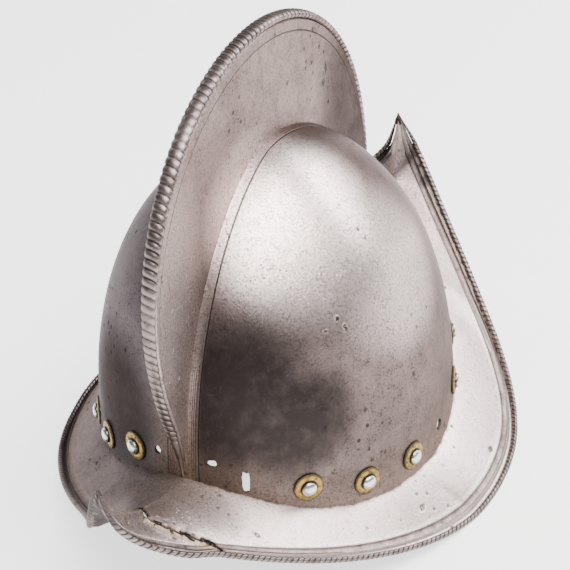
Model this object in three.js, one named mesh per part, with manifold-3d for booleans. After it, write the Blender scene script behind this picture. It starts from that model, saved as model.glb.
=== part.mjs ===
// A morion: an open iron helmet with a tall hollow comb and a brim swept up to a point at the front
// and the rear. Millimetres, +Z up, the wearer faces -Y, and the helmet is mirrored in the plane X = 0.
// The origin is in the middle of the helmet's box, on the surface that the brim rests on.
//
// The skull, comb and brim are hammered from one sheet, so they are one solid. It is built as stations,
// numbered by an angle that runs from 0 at the front to PI at the rear. Each station is a path over the
// outside, from the turned edge of the brim up to the ridge of the comb, and a path below it.
import * as THREE from 'three';
import { mergeVertices } from 'three/addons/utils/BufferGeometryUtils.js';
import Module from 'manifold-3d';

const wasm = await Module();
wasm.setup();

// Skull: an almond in plan, drawn in towards the top.
const SKULL_HALF_WIDTH = 91.3;
const SKULL_FRONT = 99.8;
const SKULL_REAR = 124;
const SKULL_CENTRE_Y = -1.6;
const SKULL_BASE_Z = 26.2;
const SKULL_HEIGHT = 166;
const PLAN_POWER = 1.83;
const PROFILE_POWER_UP = 2.5;
const PROFILE_POWER_IN = 1.62;
const WALL = 1.6;

// Root: the line where the skull turns out into the brim. It rises to the front and the rear.
const ROOT_RISE_FRONT = 32.3;
const ROOT_RISE_REAR = 29.4;
const ROOT_POWER = 4;
const BRIM_WALL_DOWN = 2.4;

// Brim: each half of its edge is two Bezier curves, from the side to where a beak starts, and up to the
// beak's point. A little is trimmed off below, so that the brim rests on a stretch of each side.
const FRONT_SIDE = [[121.9, 10.7, 0], [121.9, -42.5, 0], [85.9, -89.5, 17.3], [46.2, -126.3, 42.6]];
const FRONT_BEAK = [[46.2, -126.3, 42.6], [16.3, -154.1, 61.8], [11, -184.3, 88.2], [0, -174.4, 111.2]];
const REAR_SIDE = [[121.9, 10.7, 0], [121.9, 56.8, 0], [99.8, 97.5, -1.7], [64.3, 129, 32.7]];
const REAR_BEAK = [[64.3, 129, 32.7], [1.3, 185, 93.9], [12.7, 180.2, 75.6], [0, 170.2, 111.6]];
const BEAK_STARTS = 0.66;
const REST_TRIM = 1.3;

// The creases along the middle of the brim, from the root of the skull to just below the points.
const FRONT_KEEL = [[0, -101.4, 58.5], [0, -130.3, 63], [0, -158.3, 76], [0, -173.6, 108.4]];
const REAR_KEEL = [[0, 122.4, 55.6], [0, 142.7, 60], [0, 165.7, 72], [0, 169.7, 108.5]];
const FRONT_ROOT_PLACE = 0.77;
const REAR_ROOT_PLACE = 0.725;
const FRONT_SPREAD = 0.75;
const REAR_SPREAD = 0.55;
const KEEL_POWER = 1.75;
const BRIM_POWER = 1.1;

// Turned edge of the brim, as distances in from the edge and up from its middle line.
const ROLL = 1.6;
const BORDER_LEAN = 0.775;
const BORDER_TURN_POWER = 8;
const BORDER_ROOM = 15;
const BORDER_LEAST = 0.3;
const CREASE_DEPTH_MOST = 5;
const ROLL_FLAT = 0.9;

// Comb: its ridge is a curve about a centre in the plane X = 0, given by a short cosine series.
const COMB_CENTRE_Y = 4.3;
const COMB_CENTRE_Z = 56.2;
const COMB_SERIES = [157.9, 1.9, -42.7, -7.2, -3.9, -0.6];
const COMB_HALF_THICK = 3.1;
const RIDGE_HALF_WIDTH = 4.3;
const RIDGE_DEPTH = 5;
const COMB_FULL_HEIGHT = 14;
const COMB_FILLET = 5;
const FILLET_SETTLED_AT = 0.25;
const FILLET_END_HALF_WIDTH = 0.2;
const RIDGE_TURNS = [0.2, 0.45, 0.7, 1];
const COMB_VOID_DEPTH = 7;

// Lining rivets and their washers, in a row round the base of the skull.
const RIVET_LIFT = 13;
const RIVET_FIRST = 21.6;
const RIVET_STEP = 18;
const RIVETS_A_SIDE = 9;
const LACE_HOLE_AT = 11.2;
const HOLE_RADIUS = 2.1;
const SHANK_RADIUS = 1.6;
const WASHER_RADIUS = 7.7;
const GAP = 0.3;

const HEAD_RADIUS = 3.9;
const HEAD_HEIGHT = 2.2;
const SEAT = 0.35;
const WASHER_RIM = 0.6;
const WASHER_CROWN = 1.2;
const WASHER_CROWN_RADIUS = 5.6;
const WASHER_DIP = 0.9;
const CLINCH_RADIUS = 3;
const CLINCH_GAP = 0.6;
const CLINCH_EDGE = 1.4;
const CLINCH_HEIGHT = 1.6;
const HOLE_DEPTH = 9;
const HOLE_OUT = 3;
const HOLE_SIDES = 16;

// Damage: a torn slot and a rusted hole where two rivets are lost, and a crack in the front of the brim.
const LOST_TO_SLOT = 0;
const LOST_TO_RUST = 4;
const SLOT_LIFT = 8;
const SLOT_WIDTH = 3.6;
const SLOT_HEIGHT = 11.6;
const SLOT_OUT = 2.5;
const RUST_HOLE_ACROSS = 2.6;
const RUST_HOLE_UP = 3;
const CRACK_LINE = [[-4, -137.5], [1, -141], [6, -143.9], [14.1, -140.1], [21.9, -135.8], [30.3, -130.6]];
const CRACK_HALF_WIDTH = 0.8;
const CRACK_END_HALF_WIDTH = 0.1;
const CRACK_STEPS = 16;
const CRACK_BOTTOM = 30;
const CRACK_TOP = 110;

const SKULL_STATIONS = 28;
const FRONT_STATIONS = 6;
const REAR_STATIONS = 5;
const BRIM_ROWS = 4;
const SKULL_ROWS = 8;
const COMB_ROWS = 2;
const LATHE_SIDES = 12;

// How finely curves are followed when their directions, lengths and crossings are worked out.
const SMALL_STEP = 1e-3;
const TINY = 1e-6;
const PATH_SAMPLES = 120;
const HALVINGS = 40;

const clamp = THREE.MathUtils.clamp;
const lerp = THREE.MathUtils.lerp;
const degrees = THREE.MathUtils.degToRad;

// The larger of two values, with the corner between them rounded over a width.
function roundedMax(a, b, width) {
  const overlap = Math.max(width - Math.abs(a - b), 0);
  return Math.max(a, b) + (overlap * overlap) / (4 * width);
}

function bisect(low, high, isHigh) {
  for (let step = 0; step < HALVINGS; step++) {
    const middle = (low + high) / 2;
    if (isHigh(middle)) high = middle;
    else low = middle;
  }
  return (low + high) / 2;
}

// ---- skull ----

function skullScale(z, inset) {
  const rise = clamp((z - SKULL_BASE_Z) / (SKULL_HEIGHT - inset), 0, 1);
  return Math.pow(1 - Math.pow(rise, PROFILE_POWER_UP), 1 / PROFILE_POWER_IN);
}

function skullHalfWidth(y, z, inset) {
  const scale = skullScale(z, inset);
  const away = y - SKULL_CENTRE_Y;
  const length = ((away < 0 ? SKULL_FRONT : SKULL_REAR) - inset) * scale;
  const left = 1 - Math.pow(Math.abs(away) / Math.max(length, TINY), PLAN_POWER);
  return (SKULL_HALF_WIDTH - inset) * scale * Math.pow(Math.max(left, 0), 1 / PLAN_POWER);
}

function skullPoint(angle, z, inset) {
  const scale = skullScale(z, inset);
  const along = Math.cos(angle);
  const length = ((along > 0 ? SKULL_FRONT : SKULL_REAR) - inset) * scale;
  const x = (SKULL_HALF_WIDTH - inset) * scale * Math.pow(Math.abs(Math.sin(angle)), 2 / PLAN_POWER);
  const y = SKULL_CENTRE_Y - Math.sign(along) * length * Math.pow(Math.abs(along), 2 / PLAN_POWER);
  return new THREE.Vector3(x, y, z);
}

function rootHeight(angle) {
  const along = Math.cos(angle);
  const rise = along > 0 ? ROOT_RISE_FRONT : ROOT_RISE_REAR;
  return SKULL_BASE_Z + rise * Math.pow(Math.abs(along), ROOT_POWER);
}

// ---- brim ----

function curve(corners) {
  return new THREE.CubicBezierCurve3(...corners.map((corner) => new THREE.Vector3(...corner)));
}

const frontEdge = [curve(FRONT_SIDE), curve(FRONT_BEAK)];
const rearEdge = [curve(REAR_SIDE), curve(REAR_BEAK)];

// The edge's outermost line, from place -1 at the front point through 0 at the side to 1 at the rear.
function edgePoint(place) {
  const [side, beak] = place < 0 ? frontEdge : rearEdge;
  const reach = Math.abs(place);
  const point =
    reach < BEAK_STARTS
      ? side.getPoint(reach / BEAK_STARTS)
      : beak.getPoint((reach - BEAK_STARTS) / (1 - BEAK_STARTS));
  point.z = ROLL + Math.max(point.z - REST_TRIM, 0);
  return point;
}

// The outline of the turned edge and its border, from its inner foot round to the top, then a groove, a
// raised line and a plain band: distances in from the edge, up from its middle line, and the share of
// the border's lean.
const BORDER = [
  [2 * ROLL, -0.9, 0],
  [ROLL + ROLL_FLAT / 2, -ROLL, 0],
  [ROLL - ROLL_FLAT / 2, -ROLL, 0],
  [0.2, -0.8, 0],
  [0, 0.2, 0],
  [0.6, 1.3, 0],
  [ROLL, ROLL, 0],
  [2 * ROLL - 0.3, 1.2, 0],
  [4.2, -1.7, 1],
  [5.4, -1.15, 1],
  [8.4, -1.2, 1],
  [8.9, -0.7, 1],
];

// The border at a station. Along the sides it lies level and leans in with the brim; towards the two
// points it lies in the surface of the brim, and narrows as the borders of the two sides run together.
function borderRows(place, root) {
  const here = clamp(place, SMALL_STEP - 1, 1 - SMALL_STEP);
  const tangent = edgePoint(here + SMALL_STEP).sub(edgePoint(here - SMALL_STEP)).normalize();
  const edge = edgePoint(place);
  const rib = root.clone().sub(edge);
  const level = new THREE.Vector3(-tangent.y, tangent.x, 0).normalize();
  const ends = Math.pow(Math.abs(place), BORDER_TURN_POWER);
  const inward = level.lerp(rib.clone().normalize(), ends);
  inward.addScaledVector(tangent, -inward.dot(tangent)).normalize();
  const upward = tangent.clone().cross(inward);
  const slope = (BORDER_LEAN * rib.dot(upward)) / rib.dot(inward);
  const scale = clamp(rib.length() / BORDER_ROOM, BORDER_LEAST, 1);
  return BORDER.map(([inwards, up, lean]) => {
    const point = edge.clone();
    point.addScaledVector(inward, inwards * scale);
    point.addScaledVector(upward, (up + inwards * lean * slope) * scale);
    return point.setX(Math.max(point.x, 0));
  });
}

const FIRST_UNDER_ROW = BORDER.length - 3;
const BAND_ROW = BORDER.length - 2;
const ROOT_ROW = BORDER.length + BRIM_ROWS - 1;

function brimRows(from, to) {
  const rows = [];
  for (let row = 1; row < BRIM_ROWS; row++) {
    const share = row / BRIM_ROWS;
    const point = from.clone().lerp(to, share);
    point.z = lerp(from.z, to.z, 1 - Math.pow(1 - share, BRIM_POWER));
    rows.push(point);
  }
  return rows;
}

// ---- comb ----

function combRadius(angle) {
  return COMB_SERIES.reduce((sum, size, order) => sum + size * Math.cos(order * angle), 0);
}

function onComb(angle, radius) {
  const y = COMB_CENTRE_Y - radius * Math.cos(angle);
  return new THREE.Vector3(0, y, COMB_CENTRE_Z + radius * Math.sin(angle));
}

// How far the skull alone reaches from the comb's centre, in the plane X = 0.
function skullRadius(angle, inset) {
  return bisect(20, 200, (radius) => {
    const point = onComb(angle, radius);
    return skullHalfWidth(point.y, point.z, inset) <= 0;
  });
}

// A path from the root up the skull and over the fillet to a point on the side of the comb. Its rows
// are bunched where the fillet starts, where skull and comb meet, and where the fillet ends.
function skullRows(start, end, halfThick, inset) {
  const yAt = (share) => lerp(start.y, end.y, share);
  const zAt = (share) => lerp(start.z, end.z, share);
  const skullAt = (share) => skullHalfWidth(yAt(share), zAt(share), inset);
  const onPath = (share) => {
    const settled = Math.min(1, share / FILLET_SETTLED_AT);
    const x = roundedMax(skullAt(share), halfThick * settled, COMB_FILLET * settled + TINY);
    return new THREE.Vector3(x, yAt(share), zAt(share));
  };
  const filletStart = bisect(0, 1, (share) => skullAt(share) < halfThick + COMB_FILLET);
  const meeting = bisect(filletStart, 1, (share) => skullAt(share) < halfThick);
  const filletEnd = bisect(meeting, 1, (share) => skullAt(share) <= FILLET_END_HALF_WIDTH);
  const length = [0];
  for (let index = 1; index <= PATH_SAMPLES; index++) {
    const last = onPath((filletStart * (index - 1)) / PATH_SAMPLES);
    const next = onPath((filletStart * index) / PATH_SAMPLES);
    length.push(length[index - 1] + last.distanceTo(next));
  }
  const shares = [];
  for (let row = 1; row < SKULL_ROWS; row++) {
    const wanted = (length[PATH_SAMPLES] * row) / SKULL_ROWS;
    const index = length.findIndex((reached) => reached >= wanted);
    shares.push((filletStart * index) / PATH_SAMPLES);
  }
  shares.push(filletStart, (filletStart + meeting) / 2, meeting, filletEnd);
  for (let row = 1; row <= COMB_ROWS; row++) {
    shares.push(lerp(filletEnd, 1, row / COMB_ROWS));
  }
  return shares.map(onPath);
}

// ---- stations ----

// Where the rib from an angle round the skull meets the edge.
function placeAt(angle) {
  const turned = (2 * angle) / Math.PI - 1;
  const [reach, spread] = turned < 0 ? [FRONT_ROOT_PLACE, FRONT_SPREAD] : [REAR_ROOT_PLACE, REAR_SPREAD];
  return reach * lerp(-Math.cos(angle), turned, spread);
}

// The stations from the front point to the rear one. The first and the last few end on the crease of
// the brim, the others at the root of the skull.
function makeStations() {
  const stations = [];
  const addCrease = (rootPlace, keel, angle, share) => {
    const root = keel.getPoint(1 - Math.pow(share, KEEL_POWER));
    stations.push({ place: lerp(Math.sign(rootPlace), rootPlace, share), angle, root, onCrease: true });
  };
  for (let index = 0; index < FRONT_STATIONS; index++) {
    addCrease(-FRONT_ROOT_PLACE, curve(FRONT_KEEL), 0, index / FRONT_STATIONS);
  }
  for (let index = 0; index <= SKULL_STATIONS; index++) {
    const angle = (Math.PI * index) / SKULL_STATIONS;
    stations.push({ place: placeAt(angle), angle, root: skullPoint(angle, rootHeight(angle), 0) });
  }
  for (let index = REAR_STATIONS - 1; index >= 0; index--) {
    addCrease(REAR_ROOT_PLACE, curve(REAR_KEEL), Math.PI, index / REAR_STATIONS);
  }
  return stations;
}

const stations = makeStations();

function outerStation({ place, angle, root }) {
  const border = borderRows(place, root);
  const rows = [...border, ...brimRows(border[border.length - 1], root), root.clone()];
  const ridge = Math.max(combRadius(angle), skullRadius(angle, 0));
  const grown = Math.sqrt(clamp((ridge - skullRadius(angle, 0)) / COMB_FULL_HEIGHT, 0, 1));
  const foot = onComb(angle, ridge - RIDGE_DEPTH * grown);
  rows.push(...skullRows(root, foot, COMB_HALF_THICK * grown, 0));
  for (const turn of RIDGE_TURNS) {
    const depth = RIDGE_DEPTH * grown * (0.5 + 0.5 * Math.cos(turn * Math.PI));
    const point = onComb(angle, ridge - depth);
    point.x = RIDGE_HALF_WIDTH * grown * Math.sin(turn * Math.PI);
    rows.push(point);
  }
  return rows;
}

// The direction square to a sheet at one of its points. Beyond the first and last stations the sheet
// goes on as its own mirror image.
function squareTo(set, index, row) {
  const mirrored = (point) => point.clone().setX(-point.x);
  const last = stations.length - 1;
  const before = index > 0 ? set[index - 1][row] : mirrored(set[1][row]);
  const after = index < last ? set[index + 1][row] : mirrored(set[last - 1][row]);
  const along = after.clone().sub(before);
  const across = set[index][row + 1].clone().sub(set[index][row - 1]);
  return along.cross(across).normalize();
}

// The crease's own point on the underside, at the same distance from the sheets on both sides of it.
function underCrease(outer, index) {
  const [before, after] = [Math.max(index - 1, 0), Math.min(index + 1, stations.length - 1)];
  const along = outer[after][ROOT_ROW].clone().sub(outer[before][ROOT_ROW]);
  const across = outer[index][ROOT_ROW].clone().sub(outer[index][ROOT_ROW - 1]);
  const square = along.cross(across).normalize().setX(0);
  const depth = Math.min(WALL / square.length(), CREASE_DEPTH_MOST);
  return outer[index][ROOT_ROW].clone().addScaledVector(square.normalize(), -depth);
}

function innerStation({ angle, onCrease }, outer, index) {
  const rows = [];
  for (let row = FIRST_UNDER_ROW; row < ROOT_ROW; row++) {
    if (row === BAND_ROW) continue;
    const point = outer[index][row].clone().addScaledVector(squareTo(outer, index, row), -WALL);
    rows.push(point.setX(Math.max(point.x, 0)));
  }
  const underRoot = skullPoint(angle, rootHeight(angle) - BRIM_WALL_DOWN, WALL);
  const root = onCrease ? underCrease(outer, index) : underRoot;
  rows.push(root);
  const skull = skullRadius(angle, WALL);
  const top = Math.max(combRadius(angle) - COMB_VOID_DEPTH, skull);
  const grown = clamp((top - skull) / COMB_FULL_HEIGHT, 0, 1);
  const halfThick = (COMB_HALF_THICK - WALL) * grown;
  rows.push(...skullRows(root, onComb(angle, top - grown), halfThick, WALL));
  rows.push(onComb(angle, top));
  return rows;
}

// All the stations of one sheet. On a crease, everything above the brim is one point.
function stationSet(makeRows, rootRow) {
  return stations.map((station, index) => {
    const rows = makeRows(station, index);
    if (station.angle === 0 || station.angle === Math.PI) {
      for (let row = rootRow; row < rows.length; row++) rows[row].copy(rows[rootRow]).setX(0);
    }
    if (index === 0 || index === stations.length - 1) rows.forEach((point) => point.setX(0));
    rows[rows.length - 1].x = 0;
    return rows;
  });
}

// Triangles between neighbouring stations, on one side of the helmet and, mirrored, on the other.
function addSheet(positions, set, flip) {
  const addTriangle = (a, b, c) => {
    if (a.x === 0 && b.x === 0 && c.x === 0) return;
    const order = flip ? [a, c, b] : [a, b, c];
    order.forEach((point) => positions.push(point.x, point.y, point.z));
    order.reverse().forEach((point) => positions.push(-point.x, point.y, point.z));
  };
  for (let station = 0; station < set.length - 1; station++) {
    for (let row = 0; row < set[station].length - 1; row++) {
      const [a, b] = [set[station][row], set[station + 1][row]];
      const [c, d] = [set[station + 1][row + 1], set[station][row + 1]];
      addTriangle(a, b, c);
      addTriangle(a, c, d);
    }
  }
}

// ---- solids ----

function solidFromGeometry(geometry) {
  const bare = geometry.clone();
  bare.deleteAttribute('normal');
  bare.deleteAttribute('uv');
  const merged = mergeVertices(bare, 1e-4);
  const triangles = [];
  const index = merged.index.array;
  for (let corner = 0; corner < index.length; corner += 3) {
    const [a, b, c] = [index[corner], index[corner + 1], index[corner + 2]];
    if (a !== b && b !== c && c !== a) triangles.push(a, b, c);
  }
  const vertProperties = Float32Array.from(merged.attributes.position.array);
  const triVerts = Uint32Array.from(triangles);
  return new wasm.Manifold(new wasm.Mesh({ numProp: 3, vertProperties, triVerts }));
}

function geometryFromSolid(solid) {
  const mesh = solid.getMesh();
  const geometry = new THREE.BufferGeometry();
  geometry.setAttribute('position', new THREE.BufferAttribute(mesh.vertProperties.slice(), 3));
  geometry.setIndex(new THREE.BufferAttribute(mesh.triVerts.slice(), 1));
  geometry.computeVertexNormals();
  return geometry;
}

function makeShellBlank() {
  const outer = stationSet(outerStation, ROOT_ROW);
  const innerRows = (station, index) => innerStation(station, outer, index);
  const inner = stationSet(innerRows, ROOT_ROW - FIRST_UNDER_ROW - 1);
  const foot = outer.map((rows, index) => [inner[index][0], rows[0]]);
  const positions = [];
  addSheet(positions, outer, false);
  addSheet(positions, foot, false);
  addSheet(positions, inner, true);
  const geometry = new THREE.BufferGeometry();
  geometry.setAttribute('position', new THREE.Float32BufferAttribute(positions, 3));
  return solidFromGeometry(geometry);
}

// ---- rivets, washers and holes ----

// A frame on the outside of the skull: its Z points out of the wall and its Y up the wall.
function wallFrame(angle, side, lift) {
  const z = rootHeight(angle) + lift;
  const point = skullPoint(angle, z, 0);
  const along = skullPoint(angle + SMALL_STEP, z, 0).sub(point);
  const up = skullPoint(angle, z + SMALL_STEP, 0).sub(point).normalize();
  const out = along.cross(up).normalize();
  const mirror = new THREE.Vector3(side, 1, 1);
  [point, up, out].forEach((vector) => vector.multiply(mirror));
  return new THREE.Matrix4().makeBasis(up.clone().cross(out), up, out).setPosition(point);
}

// A turned piece from a profile of [radius, height] pairs that starts and ends on the axis, or a ring
// whose profile closes on itself. Its axis is Z.
function turned(profile) {
  const points = profile.map(([radius, height]) => new THREE.Vector2(radius, height));
  return new THREE.LatheGeometry(points, LATHE_SIDES).rotateX(Math.PI / 2);
}

function holeTool(frame, radiusAcross = HOLE_RADIUS, radiusUp = HOLE_RADIUS) {
  const tool = new THREE.CylinderGeometry(1, 1, HOLE_DEPTH + HOLE_OUT, HOLE_SIDES);
  tool.rotateX(Math.PI / 2).translate(0, 0, (HOLE_OUT - HOLE_DEPTH) / 2);
  tool.scale(radiusAcross, radiusUp, 1).applyMatrix4(frame);
  return solidFromGeometry(tool);
}

function slotTool(frame) {
  const tool = new THREE.BoxGeometry(SLOT_WIDTH, SLOT_HEIGHT, HOLE_DEPTH + SLOT_OUT);
  tool.translate(0, 0, (SLOT_OUT - HOLE_DEPTH) / 2).applyMatrix4(frame);
  return solidFromGeometry(tool);
}

// The crack through the front of the brim: a narrow gap along a curve in plan, closing at both ends.
function crackTool() {
  const line = new THREE.CatmullRomCurve3(CRACK_LINE.map(([x, y]) => new THREE.Vector3(x, y, 0)));
  const [near, far] = [[], []];
  for (let index = 0; index <= CRACK_STEPS; index++) {
    const share = index / CRACK_STEPS;
    const point = line.getPoint(share);
    const tangent = line.getTangent(share);
    const half = CRACK_END_HALF_WIDTH + CRACK_HALF_WIDTH * Math.sin(share * Math.PI);
    near.push(new THREE.Vector2(point.x - tangent.y * half, point.y + tangent.x * half));
    far.unshift(new THREE.Vector2(point.x + tangent.y * half, point.y - tangent.x * half));
  }
  const outline = new THREE.Shape([...near, ...far]);
  const tool = new THREE.ExtrudeGeometry(outline, { depth: CRACK_TOP - CRACK_BOTTOM, bevelEnabled: false });
  return solidFromGeometry(tool.translate(0, 0, CRACK_BOTTOM));
}

const rivetPlaces = Array.from({ length: RIVETS_A_SIDE }, (_, place) => place);
const rivetAngles = rivetPlaces.map((place) => degrees(RIVET_FIRST + RIVET_STEP * place));
const LEFT = 1;
const RIGHT = -1;

// The wearer's left side has lost two rivets: the first, where the hole is torn down into a slot, and
// the fifth, where the bare hole has rusted wider.
function isLost(side, place) {
  return side === LEFT && (place === LOST_TO_SLOT || place === LOST_TO_RUST);
}

function cutShell(blank) {
  let solid = blank;
  for (const side of [LEFT, RIGHT]) {
    const laceFrame = wallFrame(degrees(LACE_HOLE_AT), side, RIVET_LIFT);
    solid = solid.subtract(holeTool(laceFrame));
    rivetAngles.forEach((angle, place) => {
      if (isLost(side, place)) return;
      solid = solid.subtract(holeTool(wallFrame(angle, side, RIVET_LIFT)));
    });
  }
  const slotFrame = wallFrame(rivetAngles[LOST_TO_SLOT], LEFT, SLOT_LIFT);
  const rustFrame = wallFrame(rivetAngles[LOST_TO_RUST], LEFT, RIVET_LIFT);
  return solid
    .subtract(slotTool(slotFrame))
    .subtract(holeTool(rustFrame, RUST_HOLE_ACROSS, RUST_HOLE_UP))
    .subtract(crackTool());
}

const washerProfile = [
  [HOLE_RADIUS, SEAT],
  [WASHER_RADIUS, SEAT],
  [WASHER_RADIUS, SEAT + WASHER_RIM],
  [WASHER_CROWN_RADIUS, SEAT + WASHER_CROWN],
  [HOLE_RADIUS, SEAT + WASHER_DIP],
  [HOLE_RADIUS, SEAT],
];
const headSeat = SEAT + WASHER_CROWN + GAP;
const rivetProfile = [
  [0, -WALL - CLINCH_HEIGHT],
  [CLINCH_RADIUS, -WALL - CLINCH_EDGE],
  [CLINCH_RADIUS, -WALL - CLINCH_GAP],
  [SHANK_RADIUS, -WALL - CLINCH_GAP],
  [SHANK_RADIUS, headSeat],
  [HEAD_RADIUS, headSeat],
  [HEAD_RADIUS * 0.86, headSeat + HEAD_HEIGHT * 0.55],
  [HEAD_RADIUS * 0.45, headSeat + HEAD_HEIGHT * 0.92],
  [0, headSeat + HEAD_HEIGHT],
];

function placed(name, geometry, finish, frame) {
  const mesh = new THREE.Mesh(geometry, new THREE.MeshStandardMaterial(finish));
  mesh.name = name;
  mesh.position.setFromMatrixPosition(frame);
  mesh.quaternion.setFromRotationMatrix(frame);
  return mesh;
}

const steel = { color: 0xb5aca8, roughness: 0.38, metalness: 1 };
const brass = { color: 0x9a8246, roughness: 0.45, metalness: 1 };
const rivetSteel = { color: 0xb9b6b4, roughness: 0.3, metalness: 1 };

const helmet = new THREE.Group();
const shellGeometry = geometryFromSolid(cutShell(makeShellBlank()));
const shell = new THREE.Mesh(shellGeometry, new THREE.MeshStandardMaterial(steel));
shell.name = 'helmet_shell';
helmet.add(shell);

for (const [sideName, side] of [['left', LEFT], ['right', RIGHT]]) {
  rivetAngles.forEach((angle, place) => {
    if (isLost(side, place)) return;
    const frame = wallFrame(angle, side, RIVET_LIFT);
    const name = `${sideName}_${place + 1}`;
    helmet.add(placed(`washer_${name}`, turned(washerProfile), brass, frame));
    helmet.add(placed(`rivet_${name}`, turned(rivetProfile), rivetSteel, frame));
  });
}

export default helmet;
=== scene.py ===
"""An old comb morion: an open steel helmet with a hollow comb, a roped ridge and edge, and lining rivets.

Shapes are worked out in millimetres, in the frame's own axes: +Z up, the wearer faces -Y. The skull,
comb and brim are one sheet, built as stations that run from the front point of the brim, round one
side, to the rear point. The other side is its mirror image, apart from the damage.
"""
import math

import bpy
import numpy as np
from mathutils import Matrix, Vector, kdtree, noise


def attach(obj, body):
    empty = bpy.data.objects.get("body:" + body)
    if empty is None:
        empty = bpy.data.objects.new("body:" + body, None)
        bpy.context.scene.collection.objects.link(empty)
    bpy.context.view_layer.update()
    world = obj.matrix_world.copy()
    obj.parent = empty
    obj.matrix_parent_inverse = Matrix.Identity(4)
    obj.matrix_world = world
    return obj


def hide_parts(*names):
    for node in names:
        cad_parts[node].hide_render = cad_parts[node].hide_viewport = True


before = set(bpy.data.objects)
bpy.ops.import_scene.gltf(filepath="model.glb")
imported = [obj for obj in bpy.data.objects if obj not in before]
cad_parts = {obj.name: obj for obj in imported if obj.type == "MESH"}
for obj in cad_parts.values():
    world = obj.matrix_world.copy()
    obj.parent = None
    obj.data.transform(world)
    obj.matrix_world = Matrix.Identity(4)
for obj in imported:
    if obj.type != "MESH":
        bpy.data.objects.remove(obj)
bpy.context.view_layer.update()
MM = 0.001

# ---- the helmet's own dimensions, in millimetres ----

SKULL_HALF_WIDTH, SKULL_FRONT, SKULL_REAR = 91.3, 99.8, 124.0
SKULL_CENTRE_Y, SKULL_BASE_Z, SKULL_HEIGHT = -1.6, 26.2, 166.0
PLAN_POWER, PROFILE_POWER_UP, PROFILE_POWER_IN = 1.83, 2.5, 1.62
WALL = 1.6
ROOT_RISE_FRONT, ROOT_RISE_REAR, ROOT_POWER = 32.3, 29.4, 4
FRONT_EDGE = (
    ((121.9, 10.7, 0), (121.9, -42.5, 0), (85.9, -89.5, 17.3), (46.2, -126.3, 42.6)),
    ((46.2, -126.3, 42.6), (16.3, -154.1, 61.8), (11, -184.3, 88.2), (0, -174.4, 111.2)),
)
REAR_EDGE = (
    ((121.9, 10.7, 0), (121.9, 56.8, 0), (99.8, 97.5, -1.7), (64.3, 129, 32.7)),
    ((64.3, 129, 32.7), (1.3, 185, 93.9), (12.7, 180.2, 75.6), (0, 170.2, 111.6)),
)
FRONT_KEEL = ((0, -101.4, 58.5), (0, -130.3, 63), (0, -158.3, 76), (0, -173.6, 108.4))
REAR_KEEL = ((0, 122.4, 55.6), (0, 142.7, 60), (0, 165.7, 72), (0, 169.7, 108.5))
BEAK_STARTS, REST_TRIM = 0.66, 1.3
FRONT_ROOT_PLACE, REAR_ROOT_PLACE = 0.77, 0.725
FRONT_SPREAD, REAR_SPREAD, KEEL_POWER, BRIM_POWER = 0.75, 0.55, 1.75, 1.1
ROLL = 1.6
BORDER_LEAN, BORDER_TURN_POWER, BORDER_ROOM, BORDER_LEAST = 0.775, 8, 15, 0.3
COMB_CENTRE_Y, COMB_CENTRE_Z = 4.3, 56.2
COMB_SERIES = (157.9, 1.9, -42.7, -7.2, -3.9, -0.6)
COMB_HALF_THICK, COMB_FULL_HEIGHT, COMB_VOID_DEPTH = 3.1, 14, 7
RIDGE_HALF_WIDTH, RIDGE_DEPTH = 4.3, 5
RIVET_LIFT, RIVET_FIRST, RIVET_STEP, RIVETS_A_SIDE, LACE_HOLE_AT = 13, 21.6, 18, 9, 11.2
LOST_TO_SLOT, LOST_TO_RUST, SLOT_LIFT = 0, 4, 8
LOST = ((1, LOST_TO_SLOT), (1, LOST_TO_RUST))
COMB_LINE_DOWN, SKULL_LINE_OUT = 5.6, 8.2
INNER_ROOT_DOWN, INNER_FILLET, CREASE_DEPTH_MOST = 2.4, 4, 5

FRONT_STATIONS, SKULL_STATIONS, REAR_STATIONS = 30, 250, 26
BRIM_ROWS, SKULL_ROWS, FILLET_ROWS, COMB_ROWS = 12, 38, 7, 14
ROPE_SIDES, ROPE_STEPS, ROPE_PITCH, TORN_PITCH = 12, 760, 3.05, 4.4
HALVINGS, PATH_SAMPLES, EDGE_SAMPLES, RIDGE_SAMPLES, CRACK_SAMPLES = 40, 900, 1600, 1500, 60
FAR = 60.0  # a mark's value on points that its line doesn't reach


def lerp(a, b, share):
    return a + (b - a) * share


def clamp(value, low, high):
    return max(low, min(high, value))


def smooth(value, low, high):
    """0 below low, 1 above high, and a soft step between. Takes numbers or arrays."""
    share = np.clip((value - low) / (high - low), 0, 1)
    return share * share * (3 - 2 * share)


def unit(vector):
    return vector / max(np.linalg.norm(vector), 1e-9)


def point(x, y, z):
    return np.array([x, y, z], float)


def bezier(corners, share):
    a, b, c, d = (np.array(corner, float) for corner in corners)
    rest = 1 - share
    return rest**3 * a + 3 * rest**2 * share * b + 3 * rest * share**2 * c + share**3 * d


def bisect(low, high, is_high):
    for _ in range(HALVINGS):
        middle = (low + high) / 2
        if is_high(middle):
            high = middle
        else:
            low = middle
    return (low + high) / 2


def rounded_max(a, b, width):
    overlap = np.maximum(width - np.abs(a - b), 0)
    return np.maximum(a, b) + overlap * overlap / (4 * width)


# ---- skull ----


def skull_scale(z, inset):
    rise = np.clip((z - SKULL_BASE_Z) / (SKULL_HEIGHT - inset), 0, 1)
    return (1 - rise**PROFILE_POWER_UP) ** (1 / PROFILE_POWER_IN)


def skull_half_width(y, z, inset):
    scale = skull_scale(z, inset)
    away = y - SKULL_CENTRE_Y
    length = (np.where(away < 0, SKULL_FRONT, SKULL_REAR) - inset) * scale
    left = 1 - (np.abs(away) / np.maximum(length, 1e-6)) ** PLAN_POWER
    return (SKULL_HALF_WIDTH - inset) * scale * np.maximum(left, 0) ** (1 / PLAN_POWER)


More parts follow.
